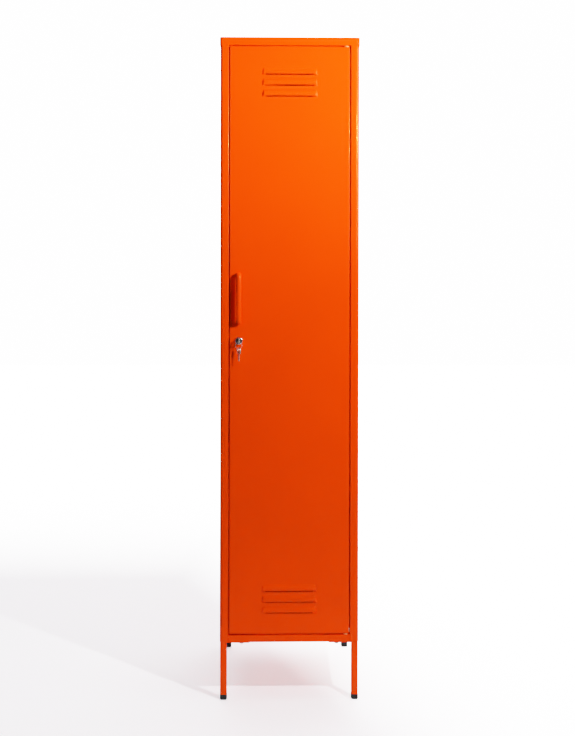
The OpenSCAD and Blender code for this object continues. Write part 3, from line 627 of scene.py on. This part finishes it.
def back_screws():
    """Two columns of screws through the side panels' returns, and a row in the bottom panel."""
    lo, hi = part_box("back_screws")
    sheet, head_r, head_h, shank_r = 0.8 * MM, 4.5 * MM, 2.4 * MM, 2.5 * MM
    side_x, top = hi.x - head_r, hi.z - head_r
    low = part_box("bottom_panel")[1].z + 60 * MM
    shape = Shape()
    for side in (-1, 1):
        for i in range(5):
            at = (side * side_x, rear_y, low + (top - low) * i / 4)
            cross_head(shape, facing(at, (0, 1, 0)), head_r, head_h, shank_r, 8 * MM)
    for x in (-100 * MM, 0.0, 100 * MM):
        at = (x, rear_y - sheet, lo.z + head_r)
        cross_head(shape, facing(at, (0, 1, 0)), head_r, head_h, shank_r, 9 * MM)
    piece("back_panel_screws", shape.verts, shape.faces, "cabinet", "zinc", ["back_screws"])


def handle_screws():
    """The two screws that hold the handle from inside the door."""
    lo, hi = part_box("handle_screws")
    sheet, head_r = 0.8 * MM, 4 * MM
    x = (lo.x + hi.x) / 2
    shape = Shape()
    for z in (lo.z + head_r, hi.z - head_r):
        spot = facing((x, front_y + sheet, z), (0, 1, 0))
        cross_head(shape, spot, head_r, 2.4 * MM, 2 * MM, 10 * MM)
    piece("handle_fixings", shape.verts, shape.faces, "door", "zinc", ["handle_screws"])


def cam_screw():
    """The screw that holds the cam on the end of the plug."""
    lo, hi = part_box("cam_screw")
    head_h = 2.2 * MM
    at = ((lo.x + hi.x) / 2, hi.y - head_h, (lo.z + hi.z) / 2)
    shape = Shape()
    cross_head(shape, facing(at, (0, 1, 0)), 5 * MM, head_h, 1.5 * MM, 4.5 * MM)
    piece("cam_fixing", shape.verts, shape.faces, "lock_plug", "zinc", ["cam_screw"])


# ---- All the pieces ----

door_panel()
top_panel()
door_handle()
lock()
key_ring()
hinge_spring()
back_screws()
handle_screws()
cam_screw()

# CAD nodes that stay: material by slot, and edges rounded by a width in mm. The first match counts.
DEFAULT_WIDTH = 0.25
WIDTHS = {
    "foot": 0.9, "leg": 0.3, "hanging_rail": 0.3, "rail_end": 0.6, "rail_rivets": 0.3,
    "rail_bracket": 0.4, "coat_hook": 0.35, "door_buffers": 0.5, "hinge_bush": 0.4,
    "hinge_block": 0.5, "hinge_pin": 0.5, "lock_nut": 0.6, "lock_cam": 0.35, "key": 0.35,
    "spare_key": 0.35, "back_nuts": 0.5, "top_nuts": 0.5,
}
for name, obj in nodes.items():
    if obj.hide_render:
        continue
    material = MATERIALS[SLOT_OF[name]]
    if not obj.material_slots:
        obj.data.materials.append(material)
    for material_slot in obj.material_slots:
        material_slot.material = material
    found = [w for key, w in WIDTHS.items() if name.startswith(key)]
    soften(obj, (found[0] if found else DEFAULT_WIDTH) * MM)


# ---- Floor, light and camera ----

def stage_floor():
    """A pale floor that turns white away from the object's shadow.

    The camera sees lit paper under a pinkish painted glow, painted bounce light that lightens its shadows,
    and a white glow: painted light to the right, and the white distance beyond.
    Other rays meet a plainer floor, so that it throws little of its light back at the object.
    """
    # lift is the share of the painted glow, painted bounce light that lightens the floor's shadows
    size, lift, white_light, painted_glow_strength = 9.0, 0.24, 7.0, 3.6
    mesh = bpy.data.meshes.new("floor")
    corners = [(-size, -size, 0), (size, -size, 0), (size, size, 0), (-size, size, 0)]
    mesh.from_pydata(corners, [], [(0, 1, 2, 3)])
    obj = bpy.data.objects.new("floor", mesh)
    bpy.context.scene.collection.objects.link(obj)
    m = Nodes("pale_floor")
    new = m.tree.nodes.new
    paper = [(0.3, (0.95, 0.935, 0.985)), (0.7, (0.97, 0.955, 1.0))]
    m.plug(m.ramp(m.noise(2.0, 4.0), paper), "Base Color")
    m.plug(m.range(m.noise(25.0, 4.0), 0.3, 0.7, 0.6, 0.75), "Roughness")
    split = new("ShaderNodeSeparateXYZ")
    m.link(m.where, split.inputs[0])
    x, y = split.outputs["X"], split.outputs["Y"]

    def math_node(kind, a, b):
        node = new("ShaderNodeMath")
        node.operation = kind
        for socket, value in zip(node.inputs, (a, b)):
            if isinstance(value, (int, float)):
                socket.default_value = value
            else:
                m.link(value, socket)
        return node.outputs[0]

    # How white the floor is: painted light that grows to the right and back, and the white distance on
    # every side
    painted_light_slope = math_node("ADD", math_node("MULTIPLY", x, 0.9), math_node("MULTIPLY", y, 0.35))
    aside = math_node("ABSOLUTE", x, 0)
    painted_light_and_horizon = m.range(painted_light_slope, 0.0, 0.85, 0.0, 1.0)
    for place, low, high in ((y, 1.0, 2.7), (aside, 1.1, 2.4), (y, -1.2, -2.4)):
        painted_light_and_horizon = math_node("MAXIMUM", painted_light_and_horizon, m.range(place, low, high, 0.0, 1.0))

    # The white glow is painted light to the right and the white distance; the pinkish one is painted bounce
    # light.
    white, painted_glow = new("ShaderNodeEmission"), new("ShaderNodeEmission")
    white.inputs["Strength"].default_value = white_light
    painted_glow.inputs["Color"].default_value = (1.03, 0.97, 1, 1)
    painted_glow.inputs["Strength"].default_value = painted_glow_strength
    bouncing, mirrored = new("ShaderNodeBsdfDiffuse"), new("ShaderNodeBsdfDiffuse")
    in_front = m.range(y, -0.7, -1.1, 0.0, 1.0)
    m.link(m.ramp(in_front, [(0.0, (0.8, 0.78, 0.8)), (1.0, (0.02, 0.02, 0.02))]), bouncing.inputs["Color"])
    mirrored.inputs["Color"].default_value = (0.22, 0.21, 0.22, 1)

    path = new("ShaderNodeLightPath")

    def mix(share, first, second):
        node = new("ShaderNodeMixShader")
        if isinstance(share, float):
            node.inputs["Fac"].default_value = share
        else:
            m.link(share, node.inputs["Fac"])
        m.link(first, node.inputs[1])
        m.link(second, node.inputs[2])
        return node.outputs[0]

    seen = mix(painted_light_and_horizon, mix(lift, m.shader.outputs["BSDF"], painted_glow.outputs[0]), white.outputs[0])
    unseen = mix(path.outputs["Is Glossy Ray"], bouncing.outputs[0], mirrored.outputs[0])
    final = mix(path.outputs["Is Camera Ray"], unseen, seen)
    m.link(final, m.tree.nodes["Material Output"].inputs["Surface"])
    mesh.materials.append(m.material)


def light(name, kind, power, at, aim=None, size=None, size_y=None, colour=(1, 1, 1), **more):
    """A lamp that the camera doesn't see, turned towards a point if one is given."""
    data = bpy.data.lights.new(name, kind)
    data.energy = power
    data.color = colour
    if kind == "AREA":
        data.shape = "RECTANGLE"
        data.size, data.size_y = size, size_y or size
    else:
        data.shadow_soft_size = size
    for key, value in more.items():
        setattr(data, key, value)
    obj = bpy.data.objects.new(name, data)
    bpy.context.scene.collection.objects.link(obj)
    obj.location = at
    if aim is not None:
        obj.rotation_mode = "QUATERNION"
        obj.rotation_quaternion = (Vector(aim) - Vector(at)).to_track_quat("-Z", "Y")
    obj.visible_camera = False
    return obj


def lights():
    """A small hard key at the right, a wider beam from the same place for the upper half, a softbox
    that only glints, a light over the floor, a strip over the door and a faint bounce below it."""
    bare_bulb = 0.025
    key_at = (0.80, front_y - 1.0, 1.66)
    strip_y, bounce_y = front_y - 0.09, front_y - 0.15
    light("key", "POINT", 186, key_at, size=bare_bulb)
    beam = light("beam", "SPOT", 215, key_at, (0, front_y, 2.85), size=bare_bulb,
                 spot_size=math.radians(144), spot_blend=1.0)
    softbox = light("softbox", "AREA", 34, (1.0, front_y - 0.75, 1.62), (0, front_y, 1.4), 0.5, 0.8)
    light("overhead", "AREA", 250, (0, 2.3, 3.4), (0, 2.3, 0), 3.6, 3.8, colour=(0.99, 0.985, 1))
    strip = light("strip", "AREA", 25, (0.1, strip_y, 3.0), (0.1, strip_y, 0), 0.8, 0.12)
    bounce = light("bounce", "AREA", 0.4, (0, bounce_y, 0.004), (0, bounce_y, 1), 0.5, 0.04)
    for lamp in (beam, strip, bounce):
        lamp.visible_glossy = False
    softbox.visible_diffuse = False


def world():
    """White to the camera. It lights the object from behind, as a lit backdrop does, and hardly
    from in front or from the left, and it shows only faintly in reflections."""
    scene_world = bpy.data.worlds.new("studio")
    bpy.context.scene.world = scene_world
    scene_world.use_nodes = True
    tree = scene_world.node_tree
    tree.nodes.clear()
    new, link = tree.nodes.new, tree.links.new

    def background(colour, strength):
        node = new("ShaderNodeBackground")
        node.inputs["Color"].default_value = (*colour, 1)
        node.inputs["Strength"].default_value = strength
        return node

    seen = background((1, 1, 1), 5.0)
    fill = background((0.98, 0.975, 1), 1.0)
    gloss = background((1, 1, 1), 0.03)
    # The fill's strength grows towards the back (Y), and falls towards the left (X)
    coord, split = new("ShaderNodeTexCoord"), new("ShaderNodeSeparateXYZ")
    link(coord.outputs["Generated"], split.inputs[0])
    both = new("ShaderNodeMath")
    both.operation = "MULTIPLY"
    ranges = (("Y", (0.15, 0.75, 0.02, 2.4)), ("X", (-0.6, 0.1, 0.02, 1)))
    for into, (axis, numbers) in zip(both.inputs, ranges):
        node = new("ShaderNodeMapRange")
        for key, number in zip(("From Min", "From Max", "To Min", "To Max"), numbers):
            node.inputs[key].default_value = number
        link(split.outputs[axis], node.inputs["Value"])
        link(node.outputs["Result"], into)
    link(both.outputs[0], fill.inputs["Strength"])
    path, out = new("ShaderNodeLightPath"), new("ShaderNodeOutputWorld")
    unseen, final = new("ShaderNodeMixShader"), new("ShaderNodeMixShader")
    link(path.outputs["Is Glossy Ray"], unseen.inputs["Fac"])
    link(fill.outputs["Background"], unseen.inputs[1])
    link(gloss.outputs["Background"], unseen.inputs[2])
    link(path.outputs["Is Camera Ray"], final.inputs["Fac"])
    link(unseen.outputs["Shader"], final.inputs[1])
    link(seen.outputs["Background"], final.inputs[2])
    link(final.outputs["Shader"], out.inputs["Surface"])


def camera():
    """The photo's view: from the front, a little to the left, with the film shifted down."""
    data = bpy.data.cameras.new("camera")
    data.sensor_fit = "AUTO"
    data.sensor_width = 36
    data.lens = 60.0
    data.shift_y = -0.1624
    obj = bpy.data.objects.new("camera", data)
    bpy.context.scene.collection.objects.link(obj)
    yaw, pitch, roll = (math.radians(a) for a in (-1.05, -0.309, -0.095))
    turn = Matrix.Rotation(yaw, 3, "Z") @ Matrix.Rotation(pitch, 3, "X") @ Matrix.Rotation(roll, 3, "Y")
    right, forward, up = turn.col[0], turn.col[1], turn.col[2]
    view = Matrix((right, up, -forward)).transposed()
    obj.rotation_mode = "QUATERNION"
    obj.rotation_quaternion = view.to_quaternion()
    obj.location = (-0.0682, front_y - 3.3844, 1.2660)
    data.clip_start = 0.05
    data.clip_end = 60
    bpy.context.scene.camera = obj


def film_curve():
    """A soft shoulder: what a channel shows is 1 - exp(-light), up to the light where it is cut off."""
    view = bpy.context.scene.view_settings
    view.view_transform = "Standard"
    view.look = "None"
    view.use_curve_mapping = True
    mapping = view.curve_mapping
    reach = 8.0
    mapping.white_level = (reach, reach, reach)
    curve = mapping.curves[3]
    places = [0.0, 0.05, 0.12, 0.25, 0.45, 0.7, 1.0, 1.4, 1.9, 2.5, 3.2, 4.2, 5.5, reach]
    while len(curve.points) < len(places):
        curve.points.new(0.5, 0.5)
    for point, x in zip(curve.points, places):
        point.location = (x / reach, 1 - math.exp(-x) if x < reach else 1.0)
    mapping.update()


stage_floor()
lights()
world()
camera()
film_curve()
